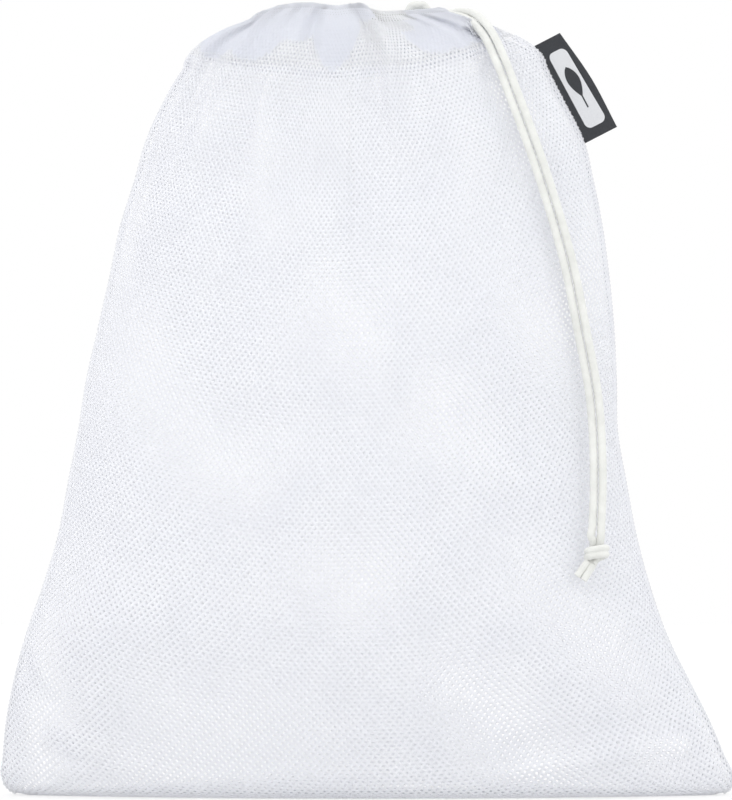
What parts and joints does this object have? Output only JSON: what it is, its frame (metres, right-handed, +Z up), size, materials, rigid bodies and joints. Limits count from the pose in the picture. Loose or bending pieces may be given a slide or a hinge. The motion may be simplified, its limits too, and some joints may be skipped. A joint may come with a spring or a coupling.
{
  "type": "mesh produce bag",
  "caption": "Drawstring bag of fine white knitted mesh for fruit and vegetables, standing filled-out with its mouth drawn nearly shut, side cord with knot and folded side label.",
  "frame": {"origin": "on the ground, under the middle of the bottom seam", "axes": "+X along the bag's width to the side with the label and the cord's exit, +Y from the front panel to the back panel, +Z up"},
  "size_m": [0.2991, 0.118, 0.325],
  "materials": {
    "knitted_mesh": "fine warp-knitted polyester mesh, slightly bluish white, soft sheen, see-through",
    "seam_overlock": "doubled mesh bound with overlock thread",
    "hem_cloth": "the same mesh in several layers, gathered, nearly opaque",
    "sewing_thread": "twisted white thread, slight sheen",
    "cord_braid": "soft ivory braid, matt and slightly fuzzy",
    "label_tape": "charcoal woven tape with a plain pale-grey woven panel, no lettering"
  },
  "bodies": {
    "lower_bag": {"front_panel_lower": "knitted_mesh", "back_panel_lower": "knitted_mesh", "left_side_seam_lower": "seam_overlock", "right_side_seam_lower": "seam_overlock", "bottom_seam": "seam_overlock", "bottom_seam_thread": "sewing_thread"},
    "upper_bag": {"front_panel_upper": "knitted_mesh", "back_panel_upper": "knitted_mesh", "left_side_seam_upper": "seam_overlock", "right_side_seam_upper": "seam_overlock", "left_bar_tack": "sewing_thread", "right_bar_tack": "sewing_thread", "drawcord_left_bend": "cord_braid", "label_stitching": "sewing_thread"},
    "front_rim": {"front_hem_channel": "hem_cloth", "front_hem_stitching": "sewing_thread", "drawcord_front_run": "cord_braid"},
    "back_rim": {"back_hem_channel": "hem_cloth", "back_hem_stitching": "sewing_thread", "drawcord_back_run": "cord_braid"},
    "label": {"side_label": "label_tape"},
    "cord_shoulder": {"cord_shoulder_strand_front": "cord_braid", "cord_shoulder_strand_back": "cord_braid"},
    "cord_tails": {"cord_tail_strand_front": "cord_braid", "cord_tail_strand_back": "cord_braid"},
    "cord_end": {"cord_knot": "cord_braid", "cord_end_left": "cord_braid", "cord_end_right": "cord_braid"}
  },
  "joints": [
    {"name": "slump", "type": "slide", "parent": "lower_bag", "child": "upper_bag", "axis": [0, 0, -1], "range_m": [0, 0.06]},
    {"name": "mouth_open", "type": "slide", "parent": "upper_bag", "child": "front_rim", "axis": [0, -1, 0], "range_m": [0, 0.03]},
    {"name": "mouth_open_back", "type": "slide", "parent": "upper_bag", "child": "back_rim", "axis": [0, 1, 0], "range_m": [0, 0.03]},
    {"name": "label_flip", "type": "hinge", "parent": "upper_bag", "child": "label", "pos_m": [0.069, 0, 0.307], "axis": [-0.4579, 0, 0.889], "range_deg": [-80, 80]},
    {"name": "cord_lift", "type": "hinge", "parent": "upper_bag", "child": "cord_shoulder", "pos_m": [0.0332, 0, 0.3205], "axis": [0, -1, 0], "range_deg": [0, 75]},
    {"name": "cord_lean", "type": "hinge", "parent": "cord_shoulder", "child": "cord_tails", "pos_m": [0.056, -0.0262, 0.2975], "axis": [-1, 0, 0], "range_deg": [0, 5.2]},
    {"name": "knot_draw", "type": "slide", "parent": "cord_tails", "child": "cord_end", "axis": [0.0071, 0.1275, 0.9918], "range_m": [0, 0.042], "deforming": ["cord_tail_strand_front", "cord_tail_strand_back"]}
  ],
  "couplings": [
    {"joint": "mouth_open_back", "follows": "mouth_open", "ratio": 1},
    {"joint": "knot_draw", "follows": "mouth_open", "ratio": 1.4},
    {"joint": "cord_lean", "follows": "slump", "rad_per_m": 1.5}
  ]
}
